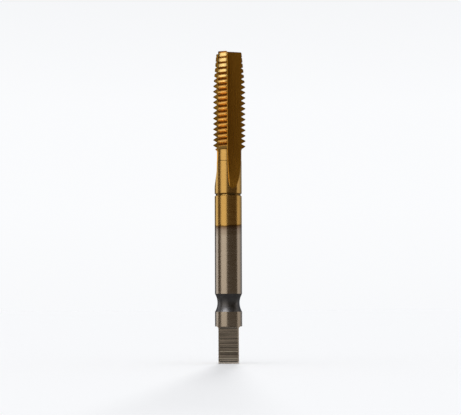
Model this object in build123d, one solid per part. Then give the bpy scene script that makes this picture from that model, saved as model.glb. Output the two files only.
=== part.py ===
"""Machine thread tap for M8 x 1.25 threads: right-hand, three straight flutes.

The tap is one piece, ground from a bar of high-speed steel. It stands on its drive end:
the origin is the centre of the square's end face, and +Z runs along the axis to the tip.
Sizes are in millimetres and degrees. Directions around the axis count anticlockwise from
+X, seen from the tip.
"""

import os
from math import acos, ceil, cos, degrees, radians, sin, sqrt, tan

from build123d import *

# Drive square, ground on the lower end of the shank
square_width = 4.65
square_length = 8.38
square_root_radius = 0.5
square_corner_bevel = 0.4

# Shank, with a round recess above the collar that ends the square
shank_diameter = 6.2
collar_length = 3.34
recess_length = 4.09
recess_depth = 0.57

# Fine ring groove near the upper end of the shank
ring_height = 38.45
ring_width = 0.6
ring_depth = 0.25

# Relieved neck between the shank and the thread
neck_diameter = 6.14
neck_start_height = 46.15

# Thread: a vee with a flat crest, cut as a right-hand helix
thread_diameter = 8.0
thread_pitch = 1.25
thread_angle = 60.0
thread_depth = 0.88
crest_width = 0.16
thread_start_height = 48.7
thread_start_slope = 45.0
groove_height_at_x_axis = 48.95

# Tip, with the long chamfer lead that starts the cut
overall_length = 71.3
lead_length = 8.2
tip_diameter = 6.4
tip_bevel = 0.12

# Flutes, and the lands left between them
flute_count = 3
land_angle = 35.0
first_land_direction = 251.0
rake_angle = 8.0
core_diameter = 3.4
flute_corner_radius = 0.6
flute_end_height = 39.8
wheel_radius = 42.0
wheel_direction_past_edge = 24.0

# Centre holes in both ends, on which the tap is held for grinding
centre_pilot_diameter = 0.8
centre_pilot_depth = 1.6
centre_cone_diameter = 1.8
centre_cone_angle = 60.0

# How far a cutter reaches past the surface that it cuts
cutter_overrun = 1.0

# Worked out from the sizes above
shank_radius = shank_diameter / 2
neck_radius = neck_diameter / 2
thread_radius = thread_diameter / 2
root_radius = thread_radius - thread_depth
tip_radius = tip_diameter / 2
core_radius = core_diameter / 2
recess_start_height = square_length + collar_length
land_spacing = 360.0 / flute_count
flute_angle = land_spacing - land_angle
flank_slope = tan(radians(thread_angle / 2))


def polar(radius, direction):
    """Point in the XY plane, at a radius and a direction from +X."""
    return Vector(radius * cos(radians(direction)), radius * sin(radians(direction)))


def turned_blank():
    """Solid of revolution: shank, recess, ring groove, neck, thread body and lead."""
    pilot_radius = centre_pilot_diameter / 2
    cone_radius = centre_cone_diameter / 2
    cone_depth = (cone_radius - pilot_radius) / tan(radians(centre_cone_angle / 2))
    recess_end_height = recess_start_height + recess_length
    recess_middle_height = recess_start_height + recess_length / 2
    ring_start_height = ring_height - ring_width / 2
    ring_end_height = ring_height + ring_width / 2
    start_rise = (thread_radius - neck_radius) / tan(radians(thread_start_slope))
    with BuildPart() as blank:
        with BuildSketch(Plane.XZ):
            with BuildLine():
                Polyline(
                    (0, centre_pilot_depth),
                    (pilot_radius, centre_pilot_depth),
                    (pilot_radius, cone_depth),
                    (cone_radius, 0),
                    (shank_radius - square_corner_bevel, 0),
                    (shank_radius, square_corner_bevel),
                    (shank_radius, recess_start_height),
                )
                ThreePointArc(
                    (shank_radius, recess_start_height),
                    (shank_radius - recess_depth, recess_middle_height),
                    (shank_radius, recess_end_height),
                )
                Line((shank_radius, recess_end_height), (shank_radius, ring_start_height))
                ThreePointArc(
                    (shank_radius, ring_start_height),
                    (shank_radius - ring_depth, ring_height),
                    (shank_radius, ring_end_height),
                )
                Polyline(
                    (shank_radius, ring_end_height),
                    (shank_radius, neck_start_height),
                    (neck_radius, neck_start_height),
                    (neck_radius, thread_start_height),
                    (thread_radius, thread_start_height + start_rise),
                    (thread_radius, overall_length - lead_length),
                    (tip_radius, overall_length - tip_bevel),
                    (tip_radius - tip_bevel, overall_length),
                    (cone_radius, overall_length),
                    (pilot_radius, overall_length - cone_depth),
                    (pilot_radius, overall_length - centre_pilot_depth),
                    (0, overall_length - centre_pilot_depth),
                    (0, centre_pilot_depth),
                )
            make_face()
        revolve(axis=Axis.Z)
    return blank.part


def flat_cutter():
    """Block outside one drive flat, rounded where the flat runs into the collar."""
    with BuildPart() as block:
        with Locations((square_width / 2, 0, -cutter_overrun)):
            Box(
                shank_radius,
                shank_diameter + 2 * cutter_overrun,
                square_length + cutter_overrun,
                align=(Align.MIN, Align.CENTER, Align.MIN),
            )
        flat_side_edges = block.edges().filter_by(Axis.Y).group_by(Axis.X)[0]
        fillet(flat_side_edges.sort_by(Axis.Z)[-1], square_root_radius)
    return block.part


def flute_section():
    """Section of one flute, with its cutting edge on the +X axis.

    The rake face leans back from the cutting edge. The back of the flute leaves the heel
    of the next land and touches the core circle. A round corner joins the two.
    """
    cutting_edge = polar(thread_radius, 0)
    heel = polar(thread_radius, flute_angle)
    core_direction = polar(1, flute_angle - degrees(acos(core_radius / thread_radius)))
    rake_outward = polar(1, rake_angle)
    back_outward = (heel - core_direction * core_radius).normalized()
    rake_length = cutting_edge.dot(core_direction) - core_radius
    rake_length = rake_length / rake_outward.dot(core_direction)
    corner = cutting_edge - rake_outward * rake_length
    rake_end = cutting_edge + rake_outward * cutter_overrun
    back_end = heel + back_outward * cutter_overrun
    outside = polar(thread_radius + cutter_overrun, flute_angle / 2)
    with BuildSketch() as section:
        with BuildLine():
            Polyline(rake_end, corner, back_end)
            ThreePointArc(back_end, outside, rake_end)
        make_face()
        fillet(section.vertices().sort_by_distance(corner)[0], flute_corner_radius)
    return section.sketch


def flute_cutter():
    """One flute: straight to the tip, and run out through the shank by a round wheel."""
    shank_cut_depth = shank_radius - core_radius
    run_out_length = sqrt(shank_cut_depth * (2 * wheel_radius - shank_cut_depth))
    run_out_start = flute_end_height + run_out_length
    clear_depth = thread_radius + cutter_overrun - core_radius
    clear_angle = degrees(acos(1 - clear_depth / wheel_radius))
    wheel_centre = polar(core_radius + wheel_radius, wheel_direction_past_edge)
    wheel_axle = Axis(
        (wheel_centre.X, wheel_centre.Y, run_out_start),
        polar(1, wheel_direction_past_edge - 90),
    )
    section = Pos(0, 0, run_out_start) * flute_section()
    straight = extrude(section, overall_length + cutter_overrun - run_out_start)
    run_out = revolve(section, axis=wheel_axle, revolution_arc=clear_angle)
    return straight + run_out


def groove_cutter():
    """One pass of the thread groove over a land, from the +X axis anticlockwise."""
    crest_half_width = (thread_pitch - crest_width) / 2
    root_half_width = crest_half_width - thread_depth * flank_slope
    # Past the crest the cutter widens by half a crest, so that neighbouring turns stay apart
    open_half_width = (thread_pitch - crest_width / 2) / 2
    open_radius = thread_radius + (open_half_width - crest_half_width) / flank_slope
    pass_angle = (land_angle + land_spacing) / 2
    pass_rise = thread_pitch * pass_angle / 360
    path = Helix(pitch=thread_pitch, height=pass_rise, radius=root_radius)
    with BuildSketch(Plane.XZ) as section:
        with BuildLine():
            Polyline(
                (root_radius, -root_half_width),
                (open_radius, -open_half_width),
                (open_radius, open_half_width),
                (root_radius, root_half_width),
                close=True,
            )
        make_face()
    return Rot(0, 0, -pass_angle / 2) * Pos(0, 0, -pass_rise / 2) * sweep(
        section.sketch, path=path, is_frenet=True
    )


def groove_places():
    """Where each pass of the helical groove crosses the middle of a land."""
    places = []
    for land in range(flute_count):
        direction = first_land_direction + land * land_spacing
        rise_to_land = groove_height_at_x_axis + thread_pitch * direction / 360
        first_turn = ceil((thread_start_height - rise_to_land) / thread_pitch)
        last_turn = ceil((overall_length - rise_to_land) / thread_pitch)
        for turn in range(first_turn, last_turn + 1):
            places.append(Pos(0, 0, rise_to_land + turn * thread_pitch) * Rot(0, 0, direction))
    return places


def tap():
    """The finished tap: the turned blank, less its flats, flutes and thread groove."""
    flats = [Rot(0, 0, 90 * side) * flat_cutter() for side in range(4)]
    flutes = [
        Rot(0, 0, first_land_direction + land_angle / 2 + flute * land_spacing) * flute_cutter()
        for flute in range(flute_count)
    ]
    groove = groove_cutter()
    grooves = [place * groove for place in groove_places()]
    return turned_blank() - flats - flutes - grooves


os.makedirs("parts", exist_ok=True)
export_step(tap(), "parts/tap.step")
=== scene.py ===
"""Looks of a machine thread tap for M8 x 1.25 threads, ground from one bar of tool steel."""

from math import acos, atan2, ceil, cos, degrees, pi, radians, sin, sqrt, tan

import bpy
from mathutils import Matrix, Vector


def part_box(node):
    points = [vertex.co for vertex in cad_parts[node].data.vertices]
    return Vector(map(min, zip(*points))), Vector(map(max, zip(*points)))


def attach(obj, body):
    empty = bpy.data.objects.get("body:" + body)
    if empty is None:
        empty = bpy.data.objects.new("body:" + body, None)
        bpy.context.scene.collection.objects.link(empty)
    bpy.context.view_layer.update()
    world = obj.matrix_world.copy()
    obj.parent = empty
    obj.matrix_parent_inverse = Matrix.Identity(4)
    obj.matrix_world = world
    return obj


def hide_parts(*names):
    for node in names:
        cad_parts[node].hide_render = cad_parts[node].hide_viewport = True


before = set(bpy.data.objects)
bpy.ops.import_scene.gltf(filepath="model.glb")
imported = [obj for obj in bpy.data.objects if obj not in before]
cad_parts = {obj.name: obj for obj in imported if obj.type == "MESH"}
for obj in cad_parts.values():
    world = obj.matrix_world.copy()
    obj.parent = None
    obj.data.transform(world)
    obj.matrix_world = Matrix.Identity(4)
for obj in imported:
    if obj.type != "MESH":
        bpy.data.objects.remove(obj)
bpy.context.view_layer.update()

MM = 0.001

# ---------------------------------------------------------------------------
# Sizes of the tap, in millimetres and degrees, as the solid has them.
# Heights count from the end of the drive square, and directions from +X.
# ---------------------------------------------------------------------------

# Drive square
flat_count = 4
square_width = 4.65
square_length = 8.38
square_root_radius = 0.5
square_corner_bevel = 0.4

# Shank, round recess and ring groove
shank_radius = 3.1
collar_length = 3.34
recess_length = 4.09
recess_depth = 0.57
ring_height = 38.45
ring_width = 0.6
ring_depth = 0.25

# Neck and thread
neck_radius = 3.07
neck_start_height = 46.15
thread_radius = 4.0
thread_pitch = 1.25
thread_angle = 60.0
thread_depth = 0.88
crest_width = 0.16
thread_start_height = 48.7
thread_start_slope = 45.0
groove_height_at_x_axis = 48.95

# Lead and tip
overall_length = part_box("tap")[1].z / MM
lead_length = 8.2
tip_radius = 3.2
tip_bevel = 0.12

# Flutes
flute_count = 3
land_angle = 35.0
first_land_direction = 251.0
rake_angle = 8.0
core_radius = 1.7
flute_corner_radius = 0.6
flute_end_height = 39.8
wheel_radius = 42.0
wheel_direction_past_edge = 24.0

# Centre holes
centre_pilot_radius = 0.4
centre_pilot_depth = 1.6
centre_cone_radius = 0.9
centre_cone_angle = 60.0

# How far a cutter reaches past the surface that it cuts
cutter_overrun = 1.0

# Turns of the groove's cutter below the thread and past the tip
groove_turns_below = 2
groove_turns_past = 1

# Fineness of the mesh
facets_round = 240
thread_steps_a_turn = 96
wheel_steps = 40
arc_steps = 10
merge_distance = 1e-4
sharp_edge_angle = 24.0

# Worked out from the sizes above
root_radius = thread_radius - thread_depth
lead_start_height = overall_length - lead_length
recess_start_height = square_length + collar_length
recess_end_height = recess_start_height + recess_length
flute_angle = 360.0 / flute_count - land_angle
flank_slope = tan(radians(thread_angle / 2))

# Direction of the cutting edge in the flute's section, drawn with the wheel towards -Y
drawn_edge_direction = -90 - wheel_direction_past_edge


# ---------------------------------------------------------------------------
# Sections of the turned blank and of the cutters, drawn with their metal on the left
# ---------------------------------------------------------------------------

def polar(radius, direction):
    """Point of a section, at a radius and a direction in degrees."""
    return Vector((radius * cos(radians(direction)), radius * sin(radians(direction))))


def arc(centre, radius, start, end, steps=arc_steps):
    """Points on an arc, from one direction to another."""
    return [centre + polar(radius, start + (end - start) * k / steps) for k in range(steps + 1)]


def hollow(start_height, end_height, depth):
    """Round hollow turned into the shank: the points of its section, from the bottom up."""
    half = (end_height - start_height) / 2
    radius = (half * half + depth * depth) / (2 * depth)
    centre = Vector((shank_radius - depth + radius, (start_height + end_height) / 2))
    half_turn = degrees(atan2(half, centre.x - shank_radius))
    return arc(centre, radius, 180 + half_turn, 180 - half_turn, 2 * arc_steps)


def turned_profile():
    """Half section of the turned blank, from the lower centre hole to the upper one."""
    cone_depth = (centre_cone_radius - centre_pilot_radius) / tan(radians(centre_cone_angle / 2))
    start_rise = (thread_radius - neck_radius) / tan(radians(thread_start_slope))
    lower = [
        (0, centre_pilot_depth),
        (centre_pilot_radius, centre_pilot_depth),
        (centre_pilot_radius, cone_depth),
        (centre_cone_radius, 0),
        (shank_radius - square_corner_bevel, 0),
        (shank_radius, square_corner_bevel),
    ]
    upper = [
        (shank_radius, neck_start_height),
        (neck_radius, neck_start_height),
        (neck_radius, thread_start_height),
        (thread_radius, thread_start_height + start_rise),
        (thread_radius, lead_start_height),
        (tip_radius, overall_length - tip_bevel),
        (tip_radius - tip_bevel, overall_length),
        (centre_cone_radius, overall_length),
        (centre_pilot_radius, overall_length - cone_depth),
        (centre_pilot_radius, overall_length - centre_pilot_depth),
        (0, overall_length - centre_pilot_depth),
    ]
    recess = hollow(recess_start_height, recess_end_height, recess_depth)
    ring = hollow(ring_height - ring_width / 2, ring_height + ring_width / 2, ring_depth)
    return [*lower, *recess, *ring, *upper]


def flat_section():
    """Section of the block outside one drive flat, with the flat on its left."""
    corner = Vector((square_width / 2 + square_root_radius, square_length - square_root_radius))
    outside = shank_radius + cutter_overrun
    return [
        Vector((square_width / 2, -cutter_overrun)),
        Vector((outside, -cutter_overrun)),
        Vector((outside, square_length)),
        *arc(corner, square_root_radius, 90, 180),
    ]


def flute_section():
    """Section of one flute, turned so that the grinding wheel lies towards -Y.

    The rake face leans back from the cutting edge. The back of the flute leaves the heel
    of the next land and touches the core circle. A round corner joins the two.
    """
    heel_direction = drawn_edge_direction + flute_angle
    cutting_edge = polar(thread_radius, drawn_edge_direction)
    heel = polar(thread_radius, heel_direction)
    core_normal = polar(1, heel_direction - degrees(acos(core_radius / thread_radius)))
    rake_outward = polar(1, drawn_edge_direction + rake_angle)
    back_outward = (heel - core_normal * core_radius).normalized()
    rake_length = (cutting_edge.dot(core_normal) - core_radius) / rake_outward.dot(core_normal)
    corner = cutting_edge - rake_outward * rake_length
    half_corner = rake_outward.angle(back_outward) / 2
    middle = (rake_outward + back_outward).normalized()
    centre = corner + middle * (flute_corner_radius / sin(half_corner))
    inward = degrees(atan2(-middle.y, -middle.x))
    half_turn = 90 - degrees(half_corner)
    middle_direction = (drawn_edge_direction + heel_direction) / 2
    return [
        heel + back_outward * cutter_overrun,
        *arc(centre, flute_corner_radius, inward - half_turn, inward + half_turn, 2 * arc_steps),
        cutting_edge + rake_outward * cutter_overrun,
        polar(thread_radius + cutter_overrun, middle_direction),
    ]


def groove_section():
    """Section of the thread groove, from its root circle outwards, with the root rounded."""
    crest_half_width = (thread_pitch - crest_width) / 2
    root_half_width = crest_half_width - thread_depth * flank_slope
    root_round = root_half_width / flank_slope
    # Past the crest the cutter widens by half a crest, so that neighbouring turns stay apart
    open_half_width = (thread_pitch - crest_width / 2) / 2
    open_depth = thread_depth + (open_half_width - crest_half_width) / flank_slope
    half_turn = 90 - thread_angle / 2
    root = arc(Vector((root_round, 0)), root_round, 180 - half_turn, 180 + half_turn)
    return [Vector((open_depth, open_half_width)), *root, Vector((open_depth, -open_half_width))]


def wheel_path():
    """Path of a flute's section, from where it comes clear of the shank up past the tip."""
    shank_cut_depth = shank_radius - core_radius
    run_out_length = sqrt(shank_cut_depth * (2 * wheel_radius - shank_cut_depth))
    run_out_start = flute_end_height + run_out_length
    clear_depth = thread_radius + cutter_overrun - core_radius
    clear_angle = acos(1 - clear_depth / wheel_radius)
    axle_distance = core_radius + wheel_radius
    path = []
    for k in range(wheel_steps + 1):
        turn = clear_angle * (1 - k / wheel_steps)
        outward = axle_distance * (1 - cos(turn))
        path.append((0, -outward, run_out_start - axle_distance * sin(turn)))
    return [*path, (0, 0, overall_length + cutter_overrun)]


# ---------------------------------------------------------------------------
# Tools for objects and nodes
# ---------------------------------------------------------------------------

def add_object(name, data):
    """A new object in the scene."""
    added = bpy.data.objects.new(name, data)
    bpy.context.scene.collection.objects.link(added)
    return added


def line_object(name, points, closed=False):
    """A helper curve of straight runs, which a tree reads and which is deleted afterwards."""
    curve = bpy.data.curves.new(name, "CURVE")
    curve.dimensions = "3D"
    spline = curve.splines.new("POLY")
    spline.points.add(len(points) - 1)
    for target, point in zip(spline.points, points):
        place = Vector(point).to_3d()
        target.co = (*place, 1)
    spline.use_cyclic_u = closed
    return add_object(name, curve)


def add_node(tree, kind, inputs=None, **settings):
    """A new node, with its settings, and each input given a value or joined to a socket."""
    node = tree.nodes.new(kind)
    for name, value in settings.items():
        setattr(node, name, value)
    for name, value in (inputs or {}).items():
        if isinstance(value, bpy.types.NodeSocket):
            tree.links.new(value, node.inputs[name])
        else:
            node.inputs[name].default_value = value
    return node


def node_math(tree, operation, *values):
    """The result of one sum."""
    return add_node(tree, "ShaderNodeMath", dict(enumerate(values)), operation=operation).outputs[0]


def node_vector(tree, operation, *values, **named):
    """The result of one sum with vectors."""
    inputs = {**dict(enumerate(values)), **named}
    return add_node(tree, "ShaderNodeVectorMath", inputs, operation=operation).outputs[0]


def joined(tree, **axes):
    """A vector from the axes that are given. The others are 0."""
    return add_node(tree, "ShaderNodeCombineXYZ", axes).outputs[0]


def split(tree, vector):
    """The X, Y and Z of a vector."""
    return add_node(tree, "ShaderNodeSeparateXYZ", {0: vector}).outputs


def away_from_axis(tree, place):
    """The vector from the Z axis, level, to a place."""
    return node_vector(tree, "MULTIPLY", place, (1, 1, 0))


def axis_distance(tree, place):
    """How far a place is from the Z axis."""
    away = away_from_axis(tree, place)
    return add_node(tree, "ShaderNodeVectorMath", {0: away}, operation="LENGTH").outputs["Value"]


def ranged(tree, value, start, end, low=0.0, high=1.0):
    """A value brought from one range to another, and kept inside it."""
    return add_node(tree, "ShaderNodeMapRange", {
        "Value": value,
        "From Min": start,
        "From Max": end,
        "To Min": low,
        "To Max": high,
    }).outputs[0]


def spread(tree, value, low, high):
    """A value from 0 to 1 brought to a range."""
    return ranged(tree, value, 0.0, 1.0, low, high)


def mixed(tree, share, first, second):
    """The first colour at share 0, the second at share 1."""
    # The colour sockets of a mix node are its inputs 6 and 7 and its output 2
    inputs = {0: share}
    for number, colour in ((6, first), (7, second)):
        inputs[number] = (*colour, 1) if isinstance(colour, tuple) else colour
    return add_node(tree, "ShaderNodeMix", inputs, data_type="RGBA").outputs[2]


def colour_at(tree, value, rows):
    """The colour for a value. Each row gives a value and the colour there."""
    lowest, highest = rows[0][0], rows[-1][0]
    ramp = add_node(tree, "ShaderNodeValToRGB", {"Fac": ranged(tree, value, lowest, highest)})
    # A new ramp already has two stops
    stops = ramp.color_ramp.elements
    for number, (row_value, colour) in enumerate(rows):
        position = (row_value - lowest) / (highest - lowest)
        stop = stops[number] if number < 2 else stops.new(position)
        stop.position = position
        stop.color = (*colour, 1)
    return ramp.outputs["Color"]


# ---------------------------------------------------------------------------
# The tree that grinds the tap
# ---------------------------------------------------------------------------

TREE_INPUTS = [
    ("Turned profile", "NodeSocketObject"),
    ("Flat section", "NodeSocketObject"),
    ("Flute section", "NodeSocketObject"),
    ("Wheel path", "NodeSocketObject"),
    ("Groove section", "NodeSocketObject"),
    ("Facets round", "NodeSocketInt"),
    ("Flats", "NodeSocketInt"),
    ("Flat cut length", "NodeSocketFloat"),
    ("Flutes", "NodeSocketInt"),
    ("First flute", "NodeSocketFloat"),
    ("Root radius", "NodeSocketFloat"),
    ("Groove start", "NodeSocketFloat"),
    ("Groove turns", "NodeSocketFloat"),
    ("Groove height", "NodeSocketFloat"),
    ("Steps a turn", "NodeSocketInt"),
    ("Recess start", "NodeSocketFloat"),
    ("Recess end", "NodeSocketFloat"),
    ("Merge distance", "NodeSocketFloat"),
    ("Sharp edge", "NodeSocketFloat"),
    ("Scale", "NodeSocketFloat"),
    ("Shank finish", "NodeSocketMaterial"),
    ("Flat finish", "NodeSocketMaterial"),
    ("Flute finish", "NodeSocketMaterial"),
    ("Thread finish", "NodeSocketMaterial"),
    ("Recess finish", "NodeSocketMaterial"),
]


def curve_of(tree, source):
    """The curve of a helper object."""
    return add_node(tree, "GeometryNodeObjectInfo", {"Object": source}).outputs["Geometry"]


def swept(tree, path, normal, section, material):
    """A section swept along a path. Its X axis follows the normal that is given."""
    held = add_node(tree, "GeometryNodeSetCurveNormal", {
        "Curve": path,
        "Normal": normal,
    }, mode="FREE")
    sweep = add_node(tree, "GeometryNodeCurveToMesh", {
        "Curve": held.outputs["Curve"],
        "Profile Curve": section,
        "Fill Caps": True,
    })
    painted = add_node(tree, "GeometryNodeSetMaterial", {
        "Geometry": sweep.outputs["Mesh"],
        "Material": material,
    })
    return painted.outputs["Geometry"]


def radial(tree):
    """Direction away from the Z axis, at each point of a curve."""
    return away_from_axis(tree, add_node(tree, "GeometryNodeInputPosition").outputs["Position"])


def copies_round(tree, cutter, count, first_direction):
    """Equal copies of a cutter round the Z axis, as real geometry."""
    points = add_node(tree, "GeometryNodePoints", {"Count": count})
    number = add_node(tree, "GeometryNodeInputIndex").outputs["Index"]
    share = node_math(tree, "DIVIDE", number, count)
    turn = node_math(tree, "MULTIPLY_ADD", share, 2 * pi, first_direction)
    placed = add_node(tree, "GeometryNodeInstanceOnPoints", {
        "Points": points.outputs[0],
        "Instance": cutter,
        "Rotation": joined(tree, Z=turn),
    })
    return add_node(tree, "GeometryNodeRealizeInstances", {0: placed.outputs[0]}).outputs[0]


def turned_blank(tree, given):
    """The profile revolved about the Z axis: swept round a unit circle, from 1 further in."""
    circle = add_node(tree, "GeometryNodeCurvePrimitiveCircle", {
        "Resolution": given["Facets round"],
        "Radius": 1,
    }, mode="RADIUS")
    clockwise = add_node(tree, "GeometryNodeReverseCurve", {"Curve": circle.outputs["Curve"]})
    profile = add_node(tree, "GeometryNodeTransform", {
        "Geometry": curve_of(tree, given["Turned profile"]),
        "Translation": (-1, 0, 0),
    })
    surface = swept(
        tree, clockwise.outputs[0], radial(tree), profile.outputs[0], given["Shank finish"]
    )
    whole = add_node(tree, "GeometryNodeMergeByDistance", {
        "Geometry": surface,
        "Distance": given["Merge distance"],
    })
    return whole.outputs[0]


def flat_cutters(tree, given):
    """Blocks outside the drive flats."""
    line = add_node(tree, "GeometryNodeCurvePrimitiveLine", {
        "Start": joined(tree, Y=node_math(tree, "MULTIPLY", given["Flat cut length"], 0.5)),
        "End": joined(tree, Y=node_math(tree, "MULTIPLY", given["Flat cut length"], -0.5)),
    }, mode="POINTS")
    section = curve_of(tree, given["Flat section"])
    block = swept(tree, line.outputs["Curve"], (1, 0, 0), section, given["Flat finish"])
    return copies_round(tree, block, given["Flats"], 0)


def flute_cutters(tree, given):
    """The paths of the grinding wheel, one for each flute."""
    path = curve_of(tree, given["Wheel path"])
    section = curve_of(tree, given["Flute section"])
    cutter = swept(tree, path, (1, 0, 0), section, given["Flute finish"])
    return copies_round(tree, cutter, given["Flutes"], given["First flute"])


def groove_cutter(tree, given):
    """The helical thread groove, right-handed, from below the thread to past the tip."""
    # Without Reverse the spiral is left-handed
    helix = add_node(tree, "GeometryNodeCurveSpiral", {
        "Resolution": given["Steps a turn"],
        "Rotations": given["Groove turns"],
        "Start Radius": given["Root radius"],
        "End Radius": given["Root radius"],
        "Height": given["Groove height"],
        "Reverse": True,
    })
    placed = add_node(tree, "GeometryNodeTransform", {
        "Geometry": helix.outputs["Curve"],
        "Translation": joined(tree, Z=given["Groove start"]),
    })
    section = curve_of(tree, given["Groove section"])
    return swept(tree, placed.outputs[0], radial(tree), section, given["Thread finish"])


def grinding_tree():
    """The turned blank less its flats, flutes and thread groove, with crisp edges kept sharp."""
    tree = bpy.data.node_groups.new("grind_tap", "GeometryNodeTree")
    for name, kind in TREE_INPUTS:
        tree.interface.new_socket(name, in_out="INPUT", socket_type=kind)
    tree.interface.new_socket("Geometry", in_out="OUTPUT", socket_type="NodeSocketGeometry")
    given = add_node(tree, "NodeGroupInput").outputs
    ground = add_node(tree, "GeometryNodeMeshBoolean", {
        "Mesh 1": turned_blank(tree, given),
    }, operation="DIFFERENCE", solver="MANIFOLD")
    for cutters in (flat_cutters, flute_cutters, groove_cutter):
        tree.links.new(cutters(tree, given), ground.inputs["Mesh 2"])
    smooth = add_node(tree, "GeometryNodeSetShadeSmooth", {"Geometry": ground.outputs["Mesh"]})
    edge_angle = add_node(tree, "GeometryNodeInputMeshEdgeAngle").outputs["Unsigned Angle"]
    crisp = add_node(tree, "GeometryNodeSetShadeSmooth", {
        "Geometry": smooth.outputs[0],
        "Selection": node_math(tree, "GREATER_THAN", edge_angle, given["Sharp edge"]),
        "Shade Smooth": False,
    }, domain="EDGE")
    scale = given["Scale"]
    small = add_node(tree, "GeometryNodeTransform", {
        "Geometry": crisp.outputs[0],
        "Scale": joined(tree, X=scale, Y=scale, Z=scale),
    })
    real = add_node(tree, "GeometryNodeRealizeInstances", {0: small.outputs[0]})
    place = add_node(tree, "GeometryNodeInputPosition").outputs["Position"]
    height = node_math(tree, "DIVIDE", split(tree, place)["Z"], scale)
    above = node_math(tree, "GREATER_THAN", height, given["Recess start"])
    below = node_math(tree, "LESS_THAN", height, given["Recess end"])
    blackened = add_node(tree, "GeometryNodeSetMaterial", {
        "Geometry": real.outputs[0],
        "Selection": node_math(tree, "MULTIPLY", above, below),
        "Material": given["Recess finish"],
    })
    add_node(tree, "NodeGroupOutput", {"Geometry": blackened.outputs[0]})
    return tree


def tree_sizes():
    """The sizes that the tree takes."""
    first_turn = ceil((thread_start_height - groove_height_at_x_axis) / thread_pitch)
    lowest_turn = first_turn - groove_turns_below
    groove_start = groove_height_at_x_axis + lowest_turn * thread_pitch
    groove_turns = ceil((overall_length - groove_start) / thread_pitch) + groove_turns_past
    first_edge_direction = first_land_direction + land_angle / 2
    return {
        "Facets round": facets_round,
        "Flats": flat_count,
        "Flat cut length": 2 * (shank_radius + cutter_overrun),
        "Flutes": flute_count,
        "First flute": radians(first_edge_direction - drawn_edge_direction),
        "Root radius": root_radius,
        "Groove start": groove_start,
        "Groove turns": float(groove_turns),
        "Groove height": groove_turns * thread_pitch,
        "Steps a turn": thread_steps_a_turn,
        "Recess start": recess_start_height,
        "Recess end": recess_end_height,
        "Merge distance": merge_distance,
        "Sharp edge": radians(sharp_edge_angle),
        "Scale": MM,
    }


def ground_tap(finishes):
    """The finished tap as one plain mesh, in metres."""
    lines = {
        "Turned profile": line_object("turned_profile", turned_profile()),
        "Flat section": line_object("flat_section", flat_section(), closed=True),
        "Flute section": line_object("flute_section", flute_section(), closed=True),
        "Wheel path": line_object("wheel_path", wheel_path()),
        "Groove section": line_object("groove_section", groove_section(), closed=True),
    }
    tree = grinding_tree()
    sockets = {item.name: item.identifier for item in tree.interface.items_tree}
    source = add_object("tap_source", bpy.data.meshes.new("tap_source"))
    modifier = source.modifiers.new("grinding", "NODES")
    modifier.node_group = tree
    for name, value in {**lines, **tree_sizes(), **finishes}.items():
        modifier[sockets[name]] = value
    evaluated = source.evaluated_get(bpy.context.evaluated_depsgraph_get())
    mesh = bpy.data.meshes.new_from_object(evaluated)
    mesh.name = "ground_tap"
    source.modifiers.clear()
    for helper in (source, *lines.values()):
        bpy.data.objects.remove(helper)
    return add_object("ground_tap", mesh)


# ---------------------------------------------------------------------------
# Finishes. Colours are linear red, green and blue, and sizes are millimetres.
# ---------------------------------------------------------------------------

STEEL = (0.585, 0.515, 0.44)
GOLD_COAT = (0.80, 0.50, 0.155)
# The next colour is painted shade, for deep in the thread groove
GROOVE_SHADE = (0.36, 0.15, 0.02)
THREAD_COAT = (0.95, 0.58, 0.16)
PALE_COAT = (0.70, 0.505, 0.20)
FLUTE_COAT = (0.86, 0.45, 0.062)
OXIDE = (0.145, 0.146, 0.157)

# How far a colour varies from patch to patch, as a share of itself
metal_unevenness = 0.06
oxide_unevenness = 0.15

# Patches of colour and grinding marks, in waves to the millimetre along X, Y and Z. Those of
# the thread are along X, along Y and away from the axis.
GOLD_PATCHES = (0.5, 0.5, 0.25)
STEEL_PATCHES = (0.5, 0.5, 0.5)
OXIDE_PATCHES = (0.7, 0.7, 0.7)
SHANK_MARKS = (0.45, 0.45, 5.0)
FLAT_MARKS = (0.02, 0.02, 3.1)
FLUTE_MARKS = (6.0, 6.0, 0.10)
THREAD_MARKS = (0.4, 0.4, 8.0)
RECESS_MARKS = (0.9, 0.9, 1.6)
mark_depth = 0.004

# The gold coat ends on the shank in a tilted edge. Each row is a height above that edge
# and the colour of the metal there: below it the heat has tinted the steel.
coat_edge_height = 31.33
coat_edge_tilt_x = 0.04
coat_edge_tilt_y = 0.055
coat_edge_wave = 0.14
COAT_EDGE_WAVES = (0.35, 0.35, 0.0)
COAT_COLOURS = [
    (-2.20, STEEL),
    (-1.80, (0.52, 0.45, 0.375)),
    (-0.95, (0.46, 0.385, 0.32)),
    (-0.45, (0.34, 0.26, 0.20)),
    (-0.15, (0.28, 0.19, 0.12)),
    (0.03, (0.17, 0.10, 0.045)),
    (0.18, (0.42, 0.24, 0.06)),
    (0.34, GOLD_COAT),
]

# Painted shade in the ring groove: the share of the colour that it leaves, and how far from the
# groove's middle it starts to fade and is gone
ring_shade_left = 0.28
ring_shade_fade = 0.25 * ring_width
ring_shade_end = 0.55 * ring_width

# Painted shade at the small step where the neck starts, and the share of the colour left there
step_shade_half_width = 0.10
step_shade_left = 0.45

# Painted shade deep in the thread groove, following the helix, in turns from the middle of the
# groove
groove_shade_middle = 0.02
groove_shade_half_width = 0.22
groove_shade_fade = 0.10

# Paler gold on the lead's crests: from one turn below the lead to halfway up it
pale_lead_start_height = lead_start_height - thread_pitch
pale_lead_end_height = overall_length - lead_length / 2

# How much paler a flute is at the shank's radius than at its core, by painted shade deep in it
flute_shade_ratio = 1.16

# The part of its range that a noise texture mostly keeps to
NOISE_RANGE = (0.3, 0.7)


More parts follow.
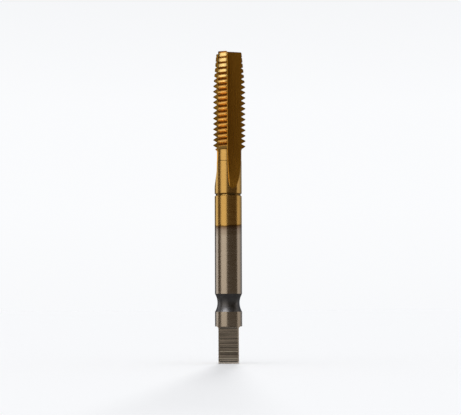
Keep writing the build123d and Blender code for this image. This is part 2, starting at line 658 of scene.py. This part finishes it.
def noise(tree, place, waves, detail=2.0, roughness=0.5):
    """Noise from 0 to 1, with this many waves to the millimetre along each axis."""
    raw = add_node(tree, "ShaderNodeTexNoise", {
        "Vector": node_vector(tree, "MULTIPLY", place, waves),
        "Scale": 1.0,
        "Detail": detail,
        "Roughness": roughness,
    }).outputs["Fac"]
    return ranged(tree, raw, *NOISE_RANGE)


def place_on_tap(tree):
    """Place in millimetres from the centre of the drive end."""
    place = add_node(tree, "ShaderNodeTexCoord").outputs["Object"]
    return node_vector(tree, "SCALE", place, Scale=1 / MM)


def toned(tree, colour, pattern, share):
    """A colour darker by this share where a pattern is 0, and lighter where it is 1."""
    return node_vector(tree, "SCALE", colour, Scale=spread(tree, pattern, 1 - share, 1 + share))


def coat_colour(tree, place):
    """Gold above the edge of the coat, bare steel below it, and the tint between them."""
    axes = split(tree, place)
    wave = noise(tree, place, COAT_EDGE_WAVES, detail=3.0)
    edge = spread(tree, wave, coat_edge_height - coat_edge_wave, coat_edge_height + coat_edge_wave)
    edge = node_math(tree, "MULTIPLY_ADD", axes["X"], coat_edge_tilt_x, edge)
    edge = node_math(tree, "MULTIPLY_ADD", axes["Y"], coat_edge_tilt_y, edge)
    return colour_at(tree, node_math(tree, "SUBTRACT", axes["Z"], edge), COAT_COLOURS)


def gold_colour(tree, place, gold):
    """One of the golds, a little uneven."""
    return toned(tree, gold, noise(tree, place, GOLD_PATCHES), metal_unevenness)


def thread_colour(tree, place):
    """Gold on the crests, paler along the lead, and dark bronze painted shade deep in the groove.
    """
    axes = split(tree, place)
    # Turns up the thread from the middle of its groove
    height = node_math(tree, "SUBTRACT", axes["Z"], groove_height_at_x_axis)
    rise = node_math(tree, "DIVIDE", height, thread_pitch)
    angle = node_math(tree, "ARCTAN2", axes["Y"], axes["X"])
    turns = node_math(tree, "MULTIPLY_ADD", angle, -1 / (2 * pi), rise)
    turns = node_math(tree, "SUBTRACT", turns, groove_shade_middle)
    away = node_math(tree, "PINGPONG", turns, 0.5)
    # Painted shade deep in the groove, fading to gold towards the crests
    groove_shade_end = groove_shade_half_width - groove_shade_fade
    gold_start = groove_shade_half_width + groove_shade_fade
    # Paler gold on the lead's crests, rising up the lead
    pale_lead_share = ranged(tree, axes["Z"], pale_lead_start_height, pale_lead_end_height)
    crest = mixed(tree, pale_lead_share, gold_colour(tree, place, THREAD_COAT), PALE_COAT)
    return mixed(tree, ranged(tree, away, groove_shade_end, gold_start), GROOVE_SHADE, crest)


def shank_colour(tree, place):
    """Gold coat or steel, painted shade in the ring groove and at the step, and the crests above.
    """
    height = split(tree, place)["Z"]
    # Painted shade in the ring groove, fading out to either side
    above_ring = node_math(tree, "SUBTRACT", height, ring_height)
    away = node_math(tree, "ABSOLUTE", above_ring)
    unshaded_ring = ranged(tree, away, ring_shade_fade, ring_shade_end, ring_shade_left, 1.0)
    # Painted shade in a thin line at the step where the neck starts
    above_step = node_math(tree, "SUBTRACT", height, neck_start_height)
    at_step = node_math(tree, "COMPARE", above_step, 0.0, step_shade_half_width)
    line = node_math(tree, "MULTIPLY_ADD", at_step, step_shade_left - 1, 1.0)
    lit = node_math(tree, "MULTIPLY", unshaded_ring, line)
    shank = node_vector(tree, "SCALE", coat_colour(tree, place), Scale=lit)
    # The crests of the thread are faces of the turned blank too, so they have this finish
    threaded = node_math(tree, "GREATER_THAN", height, thread_start_height)
    return mixed(tree, threaded, shank, thread_colour(tree, place))


def flute_colour(tree, place):
    """The deeper gold of the flutes, with painted shade deep in them, paler out towards the lands.
    """
    # Painted shade: darker deep in the flute, paler out at the shank's radius
    shade_lift = ranged(tree, axis_distance(tree, place), core_radius, shank_radius, 1.0, flute_shade_ratio)
    return node_vector(tree, "SCALE", gold_colour(tree, place, FLUTE_COAT), Scale=shade_lift)


def steel_colour(tree, place):
    """Bare steel, a little uneven."""
    return toned(tree, STEEL, noise(tree, place, STEEL_PATCHES), metal_unevenness)


def oxide_colour(tree, place):
    """Blue-black oxide, a little uneven."""
    return toned(tree, OXIDE, noise(tree, place, OXIDE_PATCHES, detail=3.0), oxide_unevenness)


def shank_marks(tree, place):
    """Fine marks round the shank from cylindrical grinding."""
    return noise(tree, place, SHANK_MARKS, detail=3.0, roughness=0.6)


def flat_marks(tree, place):
    """Coarser level lines across the drive flats from surface grinding."""
    return noise(tree, place, FLAT_MARKS, detail=0.0)


def flute_marks(tree, place):
    """Fine marks along the flutes from the form wheel."""
    return noise(tree, place, FLUTE_MARKS, detail=4.0, roughness=0.6)


def thread_marks(tree, place):
    """Fine marks that follow the thread round."""
    axes = split(tree, place)
    radius = axis_distance(tree, place)
    along = joined(tree, X=axes["X"], Y=axes["Y"], Z=radius)
    return noise(tree, along, THREAD_MARKS, detail=3.0)


def recess_marks(tree, place):
    """Soft mottling of the blackened recess."""
    return noise(tree, place, RECESS_MARKS, detail=4.0, roughness=0.6)


def metal(name, colour_of, marks_of, rough, streak, tone, relief, lengthwise=False):
    """A ground metal, with marks that change its colour, its roughness and its relief.

    Its shine streaks across the marks, which run round the tap or, lengthwise, along it.
    """
    material = bpy.data.materials.new(name)
    material.use_nodes = True
    tree = material.node_tree
    shader = tree.nodes["Principled BSDF"]
    place = place_on_tap(tree)
    marks = marks_of(tree, place)
    colour = toned(tree, colour_of(tree, place), marks, tone)
    bump = add_node(tree, "ShaderNodeBump", {
        "Strength": relief,
        "Distance": mark_depth * MM,
        "Height": marks,
    })
    outward = add_node(tree, "ShaderNodeNewGeometry").outputs["Normal"] if lengthwise else place
    aside = node_vector(tree, "CROSS_PRODUCT", (0, 0, 1), outward)
    quarter_turn = 0.25
    shader.inputs["Metallic"].default_value = 1.0
    shader.inputs["Anisotropic"].default_value = streak
    shader.inputs["Anisotropic Rotation"].default_value = 0.0 if lengthwise else quarter_turn
    tree.links.new(colour, shader.inputs["Base Color"])
    tree.links.new(spread(tree, marks, *rough), shader.inputs["Roughness"])
    tree.links.new(bump.outputs[0], shader.inputs["Normal"])
    tree.links.new(aside, shader.inputs["Tangent"])
    return material


finishes = {
    "Shank finish": metal(
        "ground_shank", shank_colour, shank_marks,
        rough=(0.23, 0.29), streak=0.35, tone=0.03, relief=0.015,
    ),
    "Flat finish": metal(
        "ground_flat", steel_colour, flat_marks,
        rough=(0.20, 0.34), streak=0.4, tone=0.85, relief=0.8,
    ),
    "Flute finish": metal(
        "ground_flute", flute_colour, flute_marks,
        rough=(0.26, 0.32), streak=0.5, tone=0.08, relief=0.3, lengthwise=True,
    ),
    "Thread finish": metal(
        "ground_thread", thread_colour, thread_marks,
        rough=(0.54, 0.62), streak=0.3, tone=0.08, relief=0.2,
    ),
    "Recess finish": metal(
        "blackened_recess", oxide_colour, recess_marks,
        rough=(0.34, 0.42), streak=0.0, tone=0.10, relief=0.2,
    ),
}

tap = ground_tap(finishes)
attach(tap, "root")
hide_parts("tap")


# ---------------------------------------------------------------------------
# Studio: camera, floor, backdrop and the cards that the metal reflects, in metres
# ---------------------------------------------------------------------------

# The camera's angles are in degrees and its sensor in millimetres. Its focus, and how far
# the tap's axis stands from the middle, are in pixels of the frame's width.
FRAME_WIDTH = 461.0
CAMERA_FOCUS = 1526.231
AXIS_OFFSET = -2.28
SENSOR_WIDTH = 36.0
CAMERA_DISTANCE = 0.349261
CAMERA_HEIGHT = 0.013378
CAMERA_PITCH = 3.635
CAMERA_ROLL = 0.2
NEAREST_SEEN = 0.01


def make_camera():
    """The camera, level with the recess and tilted up a little."""
    data = bpy.data.cameras.new("camera")
    data.sensor_fit = "HORIZONTAL"
    data.sensor_width = SENSOR_WIDTH
    data.lens = CAMERA_FOCUS * SENSOR_WIDTH / FRAME_WIDTH
    data.clip_start = NEAREST_SEEN
    camera = add_object("camera", data)
    aside = -AXIS_OFFSET / CAMERA_FOCUS * CAMERA_DISTANCE
    place = Matrix.Translation((aside, -CAMERA_DISTANCE, CAMERA_HEIGHT))
    tilt = Matrix.Rotation(radians(90 + CAMERA_PITCH), 4, "X")
    roll = Matrix.Rotation(radians(-CAMERA_ROLL), 4, "Z")
    camera.matrix_world = place @ tilt @ roll
    bpy.context.scene.camera = camera


# Cards stand in a ring round the tap, seen only in its reflections. Each row is a card's name,
# where it starts and ends in degrees from the front towards +X, its foot and top, and the
# light that it sends back.
CARD_RING_RADIUS = 0.14
CARD_STEP = 3.0
CARDS = [
    ("card_back_left", -180, -128, 0.0, 0.30, (0.09, 0.095, 0.105)),
    ("card_edge_left", -128, -98, 0.0, 0.30, (0.77, 0.74, 0.70)),
    ("card_dark_left", -98, -66, 0.0, 0.30, (0.060, 0.036, 0.013)),
    ("card_lit_front", -66, -14, 0.0, 0.085, (0.76, 0.68, 0.57)),
    ("card_softbox_low", -80, -12, 0.095, 0.15, (1.15, 1.09, 1.02)),
    ("card_softbox", -66, -12, 0.15, 0.25, (6.4, 6.2, 5.9)),
    ("card_dark_right", -14, 80, 0.0, 0.30, (0.054, 0.034, 0.014)),
    ("card_lit_right", 80, 108, 0.0, 0.30, (0.55, 0.49, 0.42)),
    ("card_pale_right", 108, 125, 0.0, 0.30, (0.40, 0.37, 0.34)),
    ("card_back_right", 125, 180, 0.0, 0.30, (0.21, 0.22, 0.24)),
]

# Painted shade in the reflections: a grey sheet round the foot of the tap, in place of the white
# floor, and a black flag beside its thread
SHEET_INNER_RADIUS = 0.0038
SHEET_HEIGHT = 0.0004
# The sheet's grey is painted shade, shown in the reflections in place of the white floor
SHEET_GREY = (0.185, 0.175, 0.16)
FLAG_X = -0.0055
FLAG_Y = (-0.0038, 0.0045)
FLAG_Z = (0.0493, 0.085)
# The flag's black is painted shade on the rake face
FLAG_BLACK = (0.015, 0.01, 0.005)


def glow(name, colour):
    """A surface that gives off an even light."""
    strength = max(colour)
    material = bpy.data.materials.new(name)
    material.use_nodes = True
    tree = material.node_tree
    tree.nodes.clear()
    tint = [channel / strength for channel in colour]
    shine = add_node(tree, "ShaderNodeEmission", {"Color": (*tint, 1), "Strength": strength})
    add_node(tree, "ShaderNodeOutputMaterial", {"Surface": shine.outputs[0]})
    return material


def make_reflected(name, verts, faces, colour):
    """A surface that only the reflections in the tap show."""
    mesh = bpy.data.meshes.new(name)
    mesh.from_pydata(verts, [], faces)
    mesh.materials.append(glow(name, colour))
    card = add_object(name, mesh)
    card.visible_camera = False
    card.visible_diffuse = False
    card.visible_shadow = False


def make_card(name, start, end, foot, top, colour):
    """One curved card of the ring."""
    steps = ceil((end - start) / CARD_STEP)
    directions = [radians(start + (end - start) * k / steps) for k in range(steps + 1)]
    verts = [
        (CARD_RING_RADIUS * sin(direction), -CARD_RING_RADIUS * cos(direction), height)
        for height in (foot, top)
        for direction in directions
    ]
    row = steps + 1
    faces = [(k, k + 1, row + k + 1, row + k) for k in range(steps)]
    make_reflected(name, verts, faces, colour)


def make_sheet():
    """The grey sheet of painted shade, a flat ring that leaves the floor round the foot free."""
    directions = [radians(k * CARD_STEP) for k in range(round(360 / CARD_STEP))]
    count = len(directions)
    verts = [
        (radius * cos(direction), radius * sin(direction), SHEET_HEIGHT)
        for radius in (SHEET_INNER_RADIUS, CARD_RING_RADIUS)
        for direction in directions
    ]
    faces = [(k, (k + 1) % count, count + (k + 1) % count, count + k) for k in range(count)]
    make_reflected("card_sheet", verts, faces, SHEET_GREY)


def make_flag():
    """The black flag of painted shade, which the rake face beside it reflects."""
    verts = [(FLAG_X, y, z) for y in FLAG_Y for z in FLAG_Z]
    make_reflected("card_flag", verts, [(0, 1, 3, 2)], FLAG_BLACK)


# The floor, a sheet of white paper that runs back nearly to the horizon
FLOOR_HALF_WIDTH = 3.0
FLOOR_WHITE = (0.972, 0.976, 0.985)
FLOOR_ROUGHNESS = 0.8


def make_floor():
    """The floor, which keeps the shadow of the tap."""
    half = FLOOR_HALF_WIDTH
    corners = [(-half, -half, 0), (half, -half, 0), (half, half, 0), (-half, half, 0)]
    mesh = bpy.data.meshes.new("floor")
    mesh.from_pydata(corners, [], [(0, 1, 2, 3)])
    material = bpy.data.materials.new("floor_paper")
    material.use_nodes = True
    shader = material.node_tree.nodes["Principled BSDF"]
    shader.inputs["Base Color"].default_value = (*FLOOR_WHITE, 1)
    shader.inputs["Roughness"].default_value = FLOOR_ROUGHNESS
    shader.inputs["Specular IOR Level"].default_value = 0.0
    mesh.materials.append(material)
    add_object("floor", mesh)


# A soft sun behind the tap, whose shadow falls towards the camera. Angles are in degrees.
SUN_STRENGTH = 1.75
SUN_HEIGHT = 22.0
SUN_ASIDE = 2.0
SUN_ANGLE = 8.0


def make_sun():
    """The soft sun, which the metal does not reflect."""
    data = bpy.data.lights.new("soft_sun", "SUN")
    data.energy = SUN_STRENGTH
    data.angle = radians(SUN_ANGLE)
    sun = add_object("soft_sun", data)
    sun.visible_glossy = False
    sun.rotation_euler = (radians(SUN_HEIGHT - 90), 0, radians(-SUN_ASIDE))


# The backdrop's colour, by height in degrees above the horizon, and the light all round
BACKDROP = [
    (-3.0, (0.93, 0.94, 0.955)),
    (0.0, (0.945, 0.953, 0.968)),
    (3.5, (0.962, 0.970, 0.985)),
    (7.5, (0.960, 0.968, 0.983)),
    (11.5, (0.918, 0.926, 0.942)),
    (20.0, (0.90, 0.91, 0.92)),
]
WORLD_LIGHT = (0.758, 0.763, 0.773)


def make_world():
    """Even light from all round, and the backdrop that the camera and reflections show."""
    world = bpy.data.worlds.new("studio")
    bpy.context.scene.world = world
    world.use_nodes = True
    tree = world.node_tree
    tree.nodes.clear()
    direction = add_node(tree, "ShaderNodeTexCoord").outputs["Generated"]
    rows = [(sin(radians(elevation)), colour) for elevation, colour in BACKDROP]
    shade = colour_at(tree, split(tree, direction)["Z"], rows)
    backdrop = add_node(tree, "ShaderNodeBackground", {"Color": shade, "Strength": 1.0})
    light = add_node(tree, "ShaderNodeBackground", {"Color": (*WORLD_LIGHT, 1), "Strength": 1.0})
    ray = add_node(tree, "ShaderNodeLightPath").outputs
    shown = node_math(tree, "MAXIMUM", ray["Is Camera Ray"], ray["Is Glossy Ray"])
    shown = node_math(tree, "MAXIMUM", shown, ray["Is Transmission Ray"])
    either = add_node(tree, "ShaderNodeMixShader", {
        0: shown,
        1: light.outputs[0],
        2: backdrop.outputs[0],
    })
    add_node(tree, "ShaderNodeOutputWorld", {"Surface": either.outputs[0]})


make_camera()
make_floor()
make_sun()
make_world()
for card in CARDS:
    make_card(*card)
make_sheet()
make_flag()

bpy.context.scene.view_settings.view_transform = "Standard"
